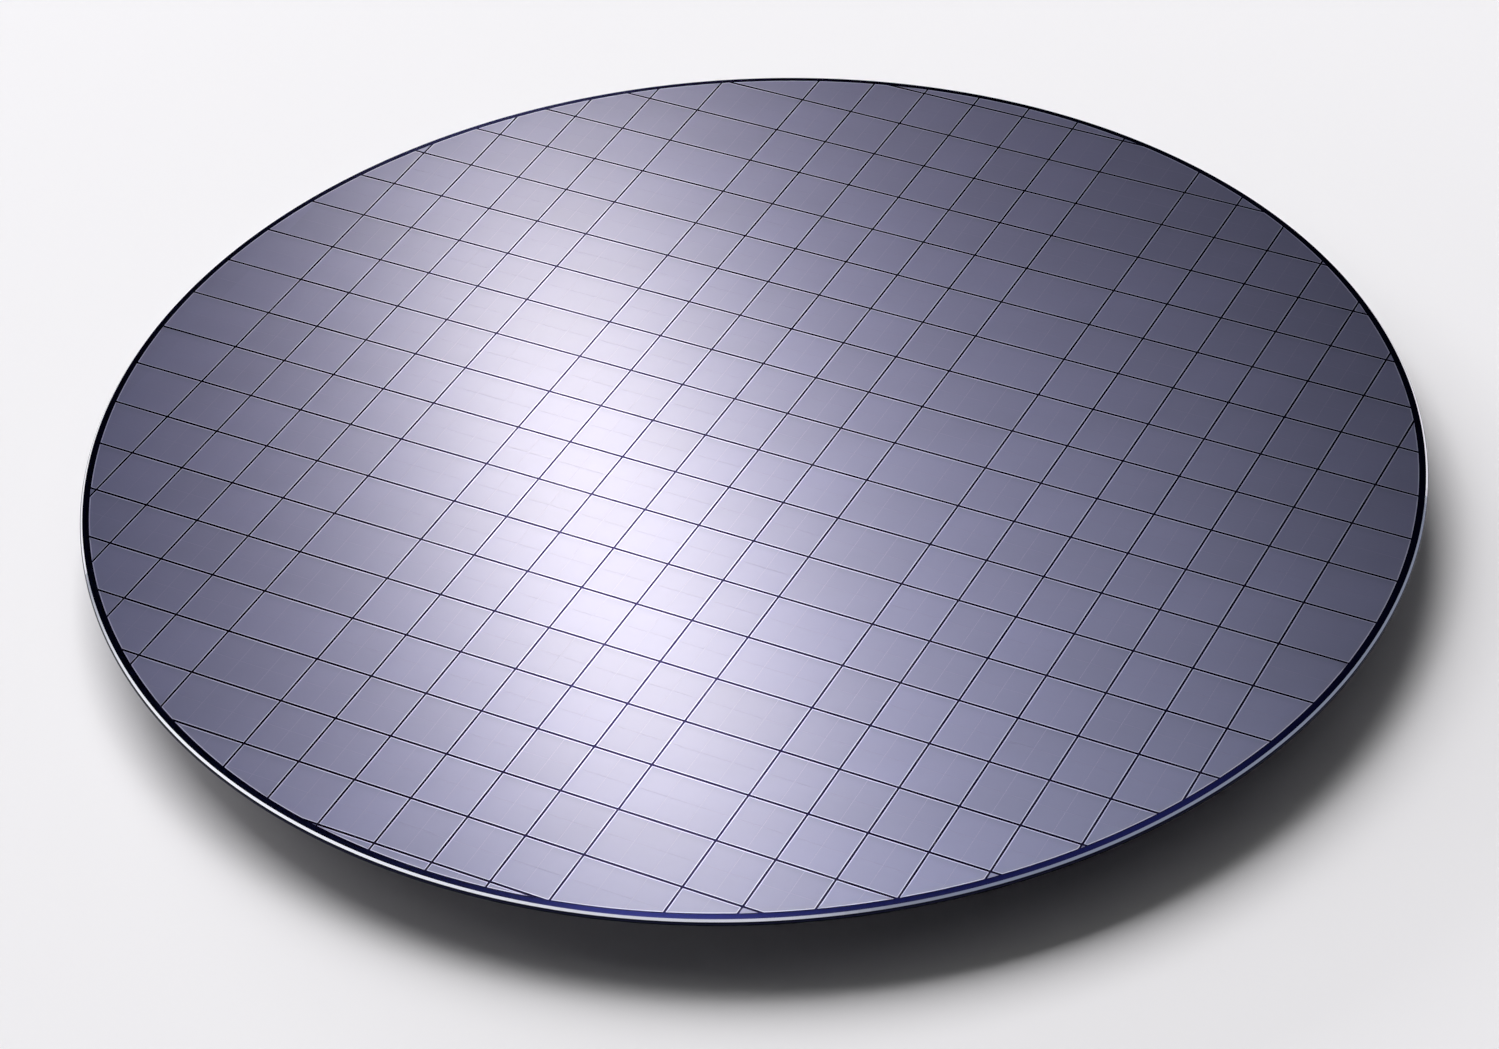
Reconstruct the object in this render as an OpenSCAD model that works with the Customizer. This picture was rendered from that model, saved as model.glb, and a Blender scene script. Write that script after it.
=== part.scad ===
// Patterned silicon wafer, before dicing. One piece of silicon: a round blank with a
// ground edge, and on its face the film of dies, parted by the etched saw streets.
// Origin at the middle of the underside, +Z up, X along the rows of dies. Millimetres.

/* [Blank] */
// Diameter of the wafer
wafer_d = 300; // [200:5:300]
// Thickness of the silicon under the die film
thickness = 1.9; // [0.775:0.025:2.5]

/* [Ground edge] */
// Slope of the ground bevels, in degrees from the flat face
bevel_angle = 45; // [20:1:50]
// Radius of the rounded nose between the two bevels, less on a thin wafer
nose_r = 0.75; // [0.2:0.05:1]

/* [Die film] */
// Height of the dies above the street floors and the bare ring
film_h = 0.1; // [0.04:0.02:0.2]
// Width of the bare ring between the die film and the outer edge
edge_exclusion = 2.1; // [1.5:0.1:5]

/* [Die grid] */
// Pitch of the ordinary columns, street included
die_pitch_x = 13.4; // [10:0.05:18]
// Pitch of the rows, street included
die_pitch_y = 14.47; // [10:0.01:18]
// Pitch of a wide column, street included
wide_pitch_x = 22.2; // [18:0.1:28]
// Ordinary columns from one wide column to the next
columns_between_wide = 6; // [3:1:9]
// Left street of the middle wide column, from the centre
wide_column_x = -73.5; // [-80:0.5:-70]
// Offset of the middle row street from the centre
row_offset_y = -0.7; // [-5:0.1:5]

/* [Streets] */
// Width of the streets between the rows
row_street_w = 0.5; // [0.2:0.02:0.6]
// Width of the streets between the columns
column_street_w = 0.4; // [0.2:0.02:0.6]
// Rim strip left uncut at the two sides, where only part dies lie
side_strip = 16; // [8:0.5:20]
// Rim strip left uncut at the front and back
end_strip = 2; // [1:0.5:6]

/* [Hidden] */

edge_fn = 144;
nose_fn = 24;
film_root = 0.2;
nose_share = 0.45;
street_over = 1;

wafer_r = wafer_d / 2;
field_r = wafer_r - edge_exclusion;

// The nose meets both bevels at a tangent, and leaves room for them.
nose = min(nose_r, nose_share * thickness);
nose_x = wafer_r - nose;
tangent_x = nose_x + nose * sin(bevel_angle);
tangent_rise = nose * cos(bevel_angle);
flat_r = tangent_x - (thickness / 2 - tangent_rise) / tan(bevel_angle);

// Street i runs along the left side of column i, and every column whose number is a
// multiple of the period is a wide one.
period = columns_between_wide + 1;
wide_extra = wide_pitch_x - die_pitch_x;
function street_x(i) = wide_column_x + i * die_pitch_x + ceil(i / period) * wide_extra;
function street_y(j) = row_offset_y + j * die_pitch_y;

reach_x = ceil((wafer_r + abs(wide_column_x)) / die_pitch_x);
reach_y = ceil((wafer_r + abs(row_offset_y)) / die_pitch_y);
column_streets = [
    for (i = [-reach_x : reach_x]) if (abs(street_x(i)) < field_r - side_strip) street_x(i)
];
row_streets = [
    for (j = [-reach_y : reach_y]) if (abs(street_y(j)) < field_r - end_strip) street_y(j)
];

// Half section of the blank: flat faces, 2 bevels and the round nose.
module blank_section() {
    polygon([
        [0, 0],
        [flat_r, 0],
        [tangent_x, thickness / 2 - tangent_rise],
        [tangent_x, thickness / 2 + tangent_rise],
        [flat_r, thickness],
        [0, thickness]
    ]);
    translate([nose_x, thickness / 2]) circle(r = nose, $fn = nose_fn);
}

module blank() {
    rotate_extrude($fn = edge_fn) blank_section();
}

module street_grid() {
    street_l = 2 * (field_r + street_over);
    for (x = column_streets)
        translate([x, 0]) square([column_street_w, street_l], center = true);
    for (y = row_streets)
        translate([0, y]) square([street_l, row_street_w], center = true);
}

// Every die stands on the same floor, and the part dies end at the bare ring.
module die_film() {
    translate([0, 0, thickness - film_root])
        linear_extrude(film_root + film_h)
            difference() {
                circle(r = field_r, $fn = edge_fn);
                street_grid();
            }
}

module wafer() {
    color([0.44, 0.45, 0.60]) union() {
        blank();
        die_film();
    }
}

wafer();
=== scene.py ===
import math

import bmesh
import bpy
from bmesh.types import BMEdge, BMFace, BMVert
from mathutils import Matrix, Vector


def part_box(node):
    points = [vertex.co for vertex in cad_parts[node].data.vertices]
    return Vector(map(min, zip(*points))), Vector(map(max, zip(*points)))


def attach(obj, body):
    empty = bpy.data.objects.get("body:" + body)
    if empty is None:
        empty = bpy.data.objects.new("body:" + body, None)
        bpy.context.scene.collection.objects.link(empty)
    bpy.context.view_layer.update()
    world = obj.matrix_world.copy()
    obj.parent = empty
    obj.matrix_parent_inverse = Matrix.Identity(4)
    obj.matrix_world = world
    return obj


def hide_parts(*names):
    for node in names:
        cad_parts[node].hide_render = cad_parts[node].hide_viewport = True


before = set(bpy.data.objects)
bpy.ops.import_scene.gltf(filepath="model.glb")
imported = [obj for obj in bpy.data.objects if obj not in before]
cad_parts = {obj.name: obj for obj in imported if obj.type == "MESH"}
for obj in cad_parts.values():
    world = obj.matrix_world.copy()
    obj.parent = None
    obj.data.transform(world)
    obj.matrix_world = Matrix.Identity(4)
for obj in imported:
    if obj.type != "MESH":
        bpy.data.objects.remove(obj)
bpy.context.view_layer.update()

# ---------------------------------------------------------------- patterned wafer
# One round of silicon, polished flat inside a bare ring, with ground bevels and a round
# nose at the rim, and an etched back. The dies are thin layers grown on the face and
# etched through, so that the silicon shows between them as the streets.
MM = 0.001

low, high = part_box("wafer")
rim_r = (high.x - low.x) / 2
die_top_z = high.z

FILM_H = 0.1 * MM
EDGE_EXCLUSION = 2.1 * MM
street_z = die_top_z - FILM_H
field_r = rim_r - EDGE_EXCLUSION

# The ground edge: the nose meets both bevels at a tangent.
BEVEL_ANGLE = math.radians(45)
NOSE_R = 0.75 * MM
NOSE_STEPS = 8
RIM_STEPS = 360

nose_x = rim_r - NOSE_R
mid_z = street_z / 2
tangent_x = nose_x + NOSE_R * math.sin(BEVEL_ANGLE)
tangent_rise = NOSE_R * math.cos(BEVEL_ANGLE)
flat_r = tangent_x - (mid_z - tangent_rise) / math.tan(BEVEL_ANGLE)

# Pitches and streets, as the mask set lays them out. Every seventh column is a wide one,
# and the strips at the sides and ends have no streets. REACH counts past the last street.
PITCH_X = 13.4 * MM
PITCH_Y = 14.47 * MM
WIDE_PITCH_X = 22.2 * MM
PERIOD = 7
WIDE_X = -73.5 * MM
ROW_Y = -0.7 * MM
ROW_STREET = 0.5 * MM
COLUMN_STREET = 0.4 * MM
SIDE_STRIP = 16 * MM
END_STRIP = 2 * MM
REACH = 12


def street_x(i):
    """The middle of the street to the left of column i."""
    return WIDE_X + i * PITCH_X + math.ceil(i / PERIOD) * (WIDE_PITCH_X - PITCH_X)


def street_y(j):
    """The middle of the street in front of row j."""
    return ROW_Y + j * PITCH_Y


columns = [i for i in range(-REACH, 2 * REACH) if abs(street_x(i)) < field_r - SIDE_STRIP]
rows = [j for j in range(-REACH, REACH) if abs(street_y(j)) < field_r - END_STRIP]
column_xs = [street_x(i) for i in columns]
row_ys = [street_y(j) for j in rows]

# Block lines inside a die: one across every row, one down an ordinary column and two
# down a wide one.
BLOCK_LINE = 0.14 * MM

row_lines = [street_y(j) + PITCH_Y / 2 for j in range(rows[0] - 1, rows[-1] + 1)]
column_lines = []
for i in range(columns[0], columns[-1]):
    blocks = 3 if i % PERIOD == 0 else 2
    wide = street_x(i + 1) - street_x(i)
    column_lines += [street_x(i) + wide * n / blocks for n in range(1, blocks)]

# The finishes, by their places in the mesh's list of materials.
FILM, LINE, SEAL_WITH_HIGHLIGHT, STREET, RING, BEVEL, NOSE, BACK = range(8)

# The directions across the two kinds of street, and how near a corner has to be to a cut
# to lie on it.
ACROSS_COLUMNS = Vector((1, 0, 0))
ACROSS_ROWS = Vector((0, 1, 0))
WELD = 1e-7


def cut(bm, across, place):
    """Cuts every face along a line, at a place on the direction across it."""
    whole = bm.verts[:] + bm.edges[:] + bm.faces[:]
    bmesh.ops.bisect_plane(bm, geom=whole, dist=WELD, plane_co=place * across, plane_no=across)


def near(value, lines, width):
    """True within half a width of one of the lines."""
    return any(abs(value - line) < width / 2 for line in lines)


def of_kind(kind, geometry):
    """The vertices, edges or faces among what an operator made."""
    return [part for part in geometry if isinstance(part, kind)]


def die_of(face):
    """The column and row of the die that holds a face."""
    middle = face.calc_center_median()
    column = max((i for i in columns if street_x(i) < middle.x), default=columns[0] - 1)
    return column, math.floor((middle.y - ROW_Y) / PITCH_Y)


bm = bmesh.new()
bmesh.ops.create_circle(bm, cap_ends=True, segments=RIM_STEPS, radius=field_r)
bmesh.ops.translate(bm, verts=bm.verts[:], vec=(0, 0, street_z))

for lines, width, across in (
    (column_xs, COLUMN_STREET, ACROSS_COLUMNS),
    (row_ys, ROW_STREET, ACROSS_ROWS),
    (column_lines, BLOCK_LINE, ACROSS_COLUMNS),
    (row_lines, BLOCK_LINE, ACROSS_ROWS),
):
    for line in lines:
        for side in (-width / 2, width / 2):
            cut(bm, across, line + side)

outline = [e for e in bm.edges if e.is_boundary]
film = []
for face in bm.faces:
    middle = face.calc_center_median()
    if near(middle.x, column_xs, COLUMN_STREET) or near(middle.y, row_ys, ROW_STREET):
        face.material_index = STREET
    else:
        line = near(middle.x, column_lines, BLOCK_LINE) or near(middle.y, row_lines, BLOCK_LINE)
        face.material_index = LINE if line else FILM
        film.append(face)

# The rim: the outline of the field is drawn out over the ring, bevels and nose.
section = [(flat_r, street_z, RING)]
for step in range(NOSE_STEPS + 1):
    turn = math.pi / 2 - BEVEL_ANGLE - step * (math.pi - 2 * BEVEL_ANGLE) / NOSE_STEPS
    slot = BEVEL if step == 0 else NOSE
    section.append((nose_x + NOSE_R * math.cos(turn), mid_z + NOSE_R * math.sin(turn), slot))
section.append((flat_r, 0, BEVEL))

radius, edges = field_r, outline
for reach, z, slot in section:
    made = bmesh.ops.extrude_edge_only(bm, edges=edges)["geom"]
    verts = of_kind(BMVert, made)
    grow = Matrix.Diagonal((reach / radius, reach / radius, 1, 1))
    bmesh.ops.transform(bm, matrix=grow, verts=verts)
    for v in verts:
        v.co.z = z
    for face in of_kind(BMFace, made):
        face.material_index = slot
        face.smooth = slot == NOSE
    edges = [e for e in of_kind(BMEdge, made) if e.is_boundary]
    radius = reach
for face in bmesh.ops.contextual_create(bm, geom=edges)["faces"]:
    face.material_index = BACK

# The dies: each one is raised off the street floor, with a dark crack stop along its edge, which
# is also painted shade there, and inside that a paler ring, the seal, whose colour is partly a
# painted highlight. The slivers left at the rim are too small for either.
CRACK_STOP_AND_PAINTED_SHADE = 0.06 * MM
SEAL_RING_WITH_HIGHLIGHT = 0.22 * MM
SLIVER = 4 * MM**2

raised = bmesh.ops.extrude_face_region(bm, geom=film)["geom"]
tops = of_kind(BMFace, raised)
bmesh.ops.delete(bm, geom=film, context="FACES")
top_set = set(tops)
for v in of_kind(BMVert, raised):
    v.co.z = die_top_z
    for face in v.link_faces:
        if face not in top_set:
            face.material_index = STREET
areas = {}
for face in tops:
    die = die_of(face)
    areas[die] = areas.get(die, 0) + face.calc_area()
dies = [face for face in tops if areas[die_of(face)] > SLIVER]
# The dark strip is a crack stop and painted shade at the die's edge; the pale strip is the seal
# and a painted highlight beside it.
for width, slot in ((CRACK_STOP_AND_PAINTED_SHADE, STREET), (SEAL_RING_WITH_HIGHLIGHT, SEAL_WITH_HIGHLIGHT)):
    strip = bmesh.ops.inset_region(
        bm, faces=dies, thickness=width, depth=0, use_boundary=True, use_even_offset=False
    )["faces"]
    for face in strip:
        face.material_index = slot
    for v in {v for face in strip for v in face.verts}:
        v.co.xy *= min(1, field_r / v.co.xy.length)
        v.co.z = die_top_z

# The block lines are shallow grooves in the die tops.
BLOCK_GROOVE = 0.02 * MM

grooves = [face for face in tops if face.material_index == LINE]
sunk = bmesh.ops.extrude_face_region(bm, geom=grooves)["geom"]
bmesh.ops.delete(bm, geom=grooves, context="FACES")
for v in of_kind(BMVert, sunk):
    v.co.z -= BLOCK_GROOVE
bmesh.ops.recalc_face_normals(bm, faces=bm.faces[:])

# Extruding leaves the faces in an order that differs from run to run, so they are sorted.
bm.verts.index_update()
in_order = sorted(bm.faces, key=lambda face: [v.index for v in face.verts])
for place, face in enumerate(in_order):
    face.index = place
bm.faces.sort()

# The die map: whole numbers count the dies, and the rest runs 0 to 1 across each die.
die_map = bm.loops.layers.uv.new("dies")
for face in bm.faces:
    column, row = die_of(face)
    wide = street_x(column + 1) - street_x(column)
    for loop in face.loops:
        across = (loop.vert.co.x - street_x(column)) / wide
        along = (loop.vert.co.y - street_y(row)) / PITCH_Y
        loop[die_map].uv = (column + REACH + across, row + REACH + along)


def finished_piece(bm, name):
    """Makes an object of a bmesh."""
    mesh = bpy.data.meshes.new(name)
    bm.to_mesh(mesh)
    bm.free()
    piece = bpy.data.objects.new(name, mesh)
    bpy.context.scene.collection.objects.link(piece)
    return piece


wafer = finished_piece(bm, "patterned_wafer")


def finish_of(name, color, metallic, roughness, coat=0.0, coat_roughness=0.1):
    """A Principled finish with constant values."""
    material = bpy.data.materials.new(name)
    material.use_nodes = True
    shader = material.node_tree.nodes["Principled BSDF"]
    shader.inputs["Base Color"].default_value = (*color, 1)
    shader.inputs["Metallic"].default_value = metallic
    shader.inputs["Roughness"].default_value = roughness
    shader.inputs["Coat Weight"].default_value = coat
    shader.inputs["Coat Roughness"].default_value = coat_roughness
    return material


def add_node(tree, kind, **settings):
    """A node of a kind, with its settings."""
    node = tree.nodes.new(kind)
    for key, value in settings.items():
        setattr(node, key, value)
    return node


def feed(tree, socket, value):
    """Puts a number, a vector or another node's output into a socket."""
    if isinstance(value, bpy.types.NodeSocket):
        tree.links.new(value, socket)
    else:
        socket.default_value = value


def calculate(tree, operation, first, second=0.0):
    """One step of arithmetic."""
    node = add_node(tree, "ShaderNodeMath", operation=operation)
    feed(tree, node.inputs[0], first)
    feed(tree, node.inputs[1], second)
    return node.outputs["Value"]


def ramp(tree, value, start, stop, low_value=0.0, high_value=1.0):
    """A smooth step from one value to another."""
    node = add_node(tree, "ShaderNodeMapRange", interpolation_type="SMOOTHSTEP")
    for name, number in (
        ("Value", value),
        ("From Min", start),
        ("From Max", stop),
        ("To Min", low_value),
        ("To Max", high_value),
    ):
        feed(tree, node.inputs[name], number)
    return node.outputs["Result"]


CLOUD_DETAIL = 2.0


def cloud(tree, scale, stretch=1.0, turn=0.0):
    """Noise about 0.5 in the piece's own coordinates, drawn out along x after a turn."""
    coordinates = add_node(tree, "ShaderNodeTexCoord")
    mapping = add_node(tree, "ShaderNodeMapping", vector_type="TEXTURE")
    mapping.inputs["Rotation"].default_value = (0, 0, turn)
    mapping.inputs["Scale"].default_value = (stretch, 1, 1)
    feed(tree, mapping.inputs["Vector"], coordinates.outputs["Object"])
    noise = add_node(tree, "ShaderNodeTexNoise")
    noise.inputs["Scale"].default_value = scale
    noise.inputs["Detail"].default_value = CLOUD_DETAIL
    feed(tree, noise.inputs["Vector"], mapping.outputs["Vector"])
    return noise.outputs["Fac"]


def vary(tree, pattern, amount):
    """1, more or less by half of the amount with the pattern."""
    return calculate(tree, "ADD", calculate(tree, "MULTIPLY", pattern, amount), 1 - amount / 2)


def scaled_color(tree, color, factor):
    """A colour made lighter or darker by a factor."""
    node = add_node(tree, "ShaderNodeVectorMath", operation="SCALE")
    feed(tree, node.inputs[0], color)
    feed(tree, node.inputs["Scale"], factor)
    return node.outputs["Vector"]


# The film: oxide and metal layers, a little lighter or darker from die to die, with painted shade
# along the far side of each die, and faint polishing streaks over the whole wafer.
FILM_COLOR = (0.078, 0.081, 0.150)
FILM_GLOSS = {"metallic": 1.0, "roughness": 0.30, "coat": 1.0, "coat_roughness": 0.20}
DIE_SPREAD = 0.10
FAR_SIDE = (0.80, 1.0)
FAR_SIDE_PAINTED_SHADE = 0.88
STREAKS = 0.16
STREAK_SCALE = 60
STREAK_STRETCH = 14
STREAK_TURN = math.radians(29)


def film_finish():
    """The finish of the die tops."""
    material = finish_of("die film", FILM_COLOR, **FILM_GLOSS)
    tree = material.node_tree
    shader = tree.nodes["Principled BSDF"]
    die_map = add_node(tree, "ShaderNodeUVMap", uv_map="dies")
    place = add_node(tree, "ShaderNodeSeparateXYZ")
    feed(tree, place.inputs["Vector"], die_map.outputs["UV"])
    number = add_node(tree, "ShaderNodeCombineXYZ")
    feed(tree, number.inputs["X"], calculate(tree, "FLOOR", place.outputs["X"]))
    feed(tree, number.inputs["Y"], calculate(tree, "FLOOR", place.outputs["Y"]))
    chance = add_node(tree, "ShaderNodeTexWhiteNoise", noise_dimensions="2D")
    feed(tree, chance.inputs["Vector"], number.outputs["Vector"])
    tone = vary(tree, chance.outputs["Value"], DIE_SPREAD)
    # Painted shade: the base colour is darkened over the far side of each die.
    far = ramp(tree, calculate(tree, "FRACT", place.outputs["Y"]), *FAR_SIDE, 1.0, FAR_SIDE_PAINTED_SHADE)
    streaks = vary(tree, cloud(tree, STREAK_SCALE, STREAK_STRETCH, STREAK_TURN), STREAKS)
    total = calculate(tree, "MULTIPLY", calculate(tree, "MULTIPLY", tone, far), streaks)
    feed(tree, shader.inputs["Base Color"], scaled_color(tree, FILM_COLOR, total))
    return material


def clouded_finish(name, color, metallic, roughness, scale, amount):
    """A finish whose colour and roughness drift a little over the surface."""
    material = finish_of(name, color, metallic, roughness)
    tree = material.node_tree
    shader = tree.nodes["Principled BSDF"]
    drift = vary(tree, cloud(tree, scale), amount)
    feed(tree, shader.inputs["Base Color"], scaled_color(tree, color, drift))
    feed(tree, shader.inputs["Roughness"], calculate(tree, "MULTIPLY", drift, roughness))
    return material


# In the order of the list above: what the film is made of, then the bare silicon.
for finish in (
    film_finish(),
    finish_of("block line", (0.090, 0.091, 0.160), **FILM_GLOSS),
    # Partly painted highlight: this pale colour is the seal's, and it also stands for the lit edge
    # of each die.
    finish_of("seal ring with painted highlight", (0.200, 0.203, 0.310), **FILM_GLOSS),
    finish_of("street", (0.004, 0.003, 0.022), metallic=1.0, roughness=0.18),
    finish_of("ring", (0.006, 0.008, 0.054), metallic=1.0, roughness=0.13),
    finish_of("bevel", (0.90, 0.90, 0.95), metallic=1.0, roughness=0.08),
    finish_of("nose", (0.009, 0.010, 0.026), metallic=1.0, roughness=0.25),
    clouded_finish("back", (0.25, 0.25, 0.28), metallic=0.8, roughness=0.45, scale=30, amount=0.3),
):
    wafer.data.materials.append(finish)

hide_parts("wafer")
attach(wafer, "root")

# ---------------------------------------------------------------- table
# A wide sheet of pale matt board that lies a little below the wafer and takes its soft
# shadow. It is only the ground of the scene, and no part of the object.
TABLE_DROP = 11 * MM
TABLE_SIZE = 12.0
TABLE_COLOR = (0.87, 0.857, 0.88)

bm = bmesh.new()
bmesh.ops.create_grid(bm, x_segments=1, y_segments=1, size=TABLE_SIZE / 2)
bmesh.ops.translate(bm, verts=bm.verts[:], vec=(0, 0, -TABLE_DROP))
table = finished_piece(bm, "table")
board = clouded_finish("table", TABLE_COLOR, metallic=0.0, roughness=0.9, scale=3, amount=0.02)
table.data.materials.append(board)

# ---------------------------------------------------------------- camera
# A long lens on a stand to the right of the wafer's front, looking down at it with the
# whole rim in view, and rolled a little.
CAMERA_PLACE = Vector((349.16, -631.11, 569.99)) * MM
CAMERA_TARGET = Vector((12.48, -25.24, 2.25)) * MM
CAMERA_ROLL = math.radians(-3.34)
LENS = 98.5
SENSOR_WIDTH = 36

camera_data = bpy.data.cameras.new("camera")
camera_data.lens = LENS
camera_data.sensor_width = SENSOR_WIDTH
camera = bpy.data.objects.new("camera", camera_data)
bpy.context.scene.collection.objects.link(camera)
look = (CAMERA_TARGET - CAMERA_PLACE).to_track_quat("-Z", "Y").to_matrix()
camera.matrix_world = (
    Matrix.Translation(CAMERA_PLACE) @ look.to_4x4() @ Matrix.Rotation(CAMERA_ROLL, 4, "Z")
)
bpy.context.scene.camera = camera

# ---------------------------------------------------------------- lamps
# Soft boxes on stands, all aimed at the wafer. The near ones are there for the polished
# face to mirror, the far ones light what is matt, and neither kind does the other's work.
NEAR, FAR = 4.0, 9.0

# Bearings are turned from the line of sight: 0 is straight behind the wafer.
SIGHT = math.radians(28.95)


def soft_box(name, bearing, elevation, distance, width, height, radiance, color=(1, 1, 1), lean=0):
    """A rectangular lamp that faces the wafer."""
    data = bpy.data.lights.new(name, "AREA")
    data.shape = "RECTANGLE"
    data.size, data.size_y = width, height
    data.energy = radiance * width * height * math.pi
    data.color = color
    lamp = bpy.data.objects.new(name, data)
    turn, rise = SIGHT - math.radians(bearing), math.radians(elevation)
    place = distance * Vector(
        (-math.sin(turn) * math.cos(rise), math.cos(turn) * math.cos(rise), math.sin(rise))
    )
    lamp.location = place
    facing = (-place).to_track_quat("-Z", "Y").to_matrix()
    lamp.rotation_euler = (facing @ Matrix.Rotation(math.radians(lean), 3, "Z")).to_euler()
    lamp.visible_camera = False
    bpy.context.scene.collection.objects.link(lamp)
    return lamp


# Lamps that the polished face mirrors: name, bearing, elevation, distance, width, height,
# radiance and colour.
for lamp in (
    soft_box("window", -3.4, 39.9, NEAR, 0.23, 0.72, 23.4, (1.07, 1.0, 0.92), lean=10),
    soft_box("fill", 5.0, 42, NEAR, 0.6, 0.6, 1.2, (1.0, 1.0, 1.2)),
    soft_box("low front", -30, 20, NEAR, 1.6, 1.4, 1.2, (0.4, 0.7, 1.9)),
    soft_box("overhead", 0, 64, NEAR, 1.6, 1.4, 9.6, (1.0, 1.03, 0.90)),
):
    lamp.visible_diffuse = False

# White lamps that light what is matt, and throw the soft shadow on the table.
for lamp in (
    soft_box("broad", -20, 42, FAR, 7.6, 4.8, 9.4),
    soft_box("left", -60, 25, FAR, 5.0, 3.0, 3.1),
    soft_box("side", -87, 8, FAR, 10.0, 0.95, 4.3),
    soft_box("low", -29, 11, FAR, 5.3, 1.1, 17.2),
    soft_box("top", 44, 60, FAR, 16.5, 3.4, 0.51),
):
    lamp.visible_glossy = False

# ---------------------------------------------------------------- room
# A pale wall to the left of the camera and behind it, and a dim glow elsewhere, but for
# the dark round the window. Only the camera and mirrored light see the room, and the
# lamps alone light what is matt.
AMBIENT = 0.004
GLOW = 0.3
GLOW_COLOR = Vector((0.72, 0.79, 1.0))

# Directions in the camera's plan: right, away and up. Each edge gives how far a ray goes
# along its direction where that part of the room starts, and where it is full.
WALL_SIDE = (-1.0, -0.5, 0.0)
WALL_SIDE_EDGE = (-0.15, 0.45)
WALL_TOP = (0.0, 0.5, 1.0)
WALL_TOP_EDGE = (0.25, 0.42)
WINDOW_WAY = (0.0, 0.78, 0.63)
WINDOW_EDGE = (0.8, 0.3)
UP = (0.0, 0.0, 1.0)
HORIZON_EDGE = (0.40, 0.25)

world = bpy.data.worlds.new("studio")
bpy.context.scene.world = world
world.use_nodes = True
sky = world.node_tree
rays = add_node(sky, "ShaderNodeTexCoord")
light_path = add_node(sky, "ShaderNodeLightPath")


def along(direction):
    """How far a ray goes along a direction."""
    right, away, up = direction
    node = add_node(sky, "ShaderNodeVectorMath", operation="DOT_PRODUCT")
    feed(sky, node.inputs[0], rays.outputs["Generated"])
    node.inputs[1].default_value = (
        right * math.cos(SIGHT) - away * math.sin(SIGHT),
        right * math.sin(SIGHT) + away * math.cos(SIGHT),
        up,
    )
    return node.outputs["Value"]


side = ramp(sky, along(WALL_SIDE), *WALL_SIDE_EDGE)
over = ramp(sky, along(WALL_TOP), *WALL_TOP_EDGE)
wall = calculate(sky, "MULTIPLY", side, over)
apart = ramp(sky, along(WINDOW_WAY), *WINDOW_EDGE)
horizon = ramp(sky, along(UP), *HORIZON_EDGE)
glow = calculate(sky, "MULTIPLY", calculate(sky, "MAXIMUM", apart, horizon), GLOW)
room = calculate(sky, "MAXIMUM", wall, glow)
seen = light_path.outputs["Is Camera Ray"]
for ray in ("Is Glossy Ray", "Is Transmission Ray"):
    seen = calculate(sky, "MAXIMUM", seen, light_path.outputs[ray])
room = calculate(sky, "MULTIPLY", room, seen)
background = sky.nodes["Background"]
feed(sky, background.inputs["Strength"], calculate(sky, "ADD", room, AMBIENT))

# White on the wall, and the colour of the glow elsewhere.
tint = add_node(sky, "ShaderNodeVectorMath", operation="MULTIPLY_ADD")
feed(sky, tint.inputs[0], wall)
feed(sky, tint.inputs[1], Vector((1, 1, 1)) - GLOW_COLOR)
feed(sky, tint.inputs[2], GLOW_COLOR)
feed(sky, background.inputs["Color"], tint.outputs["Vector"])

bpy.context.scene.view_settings.view_transform = "Standard"
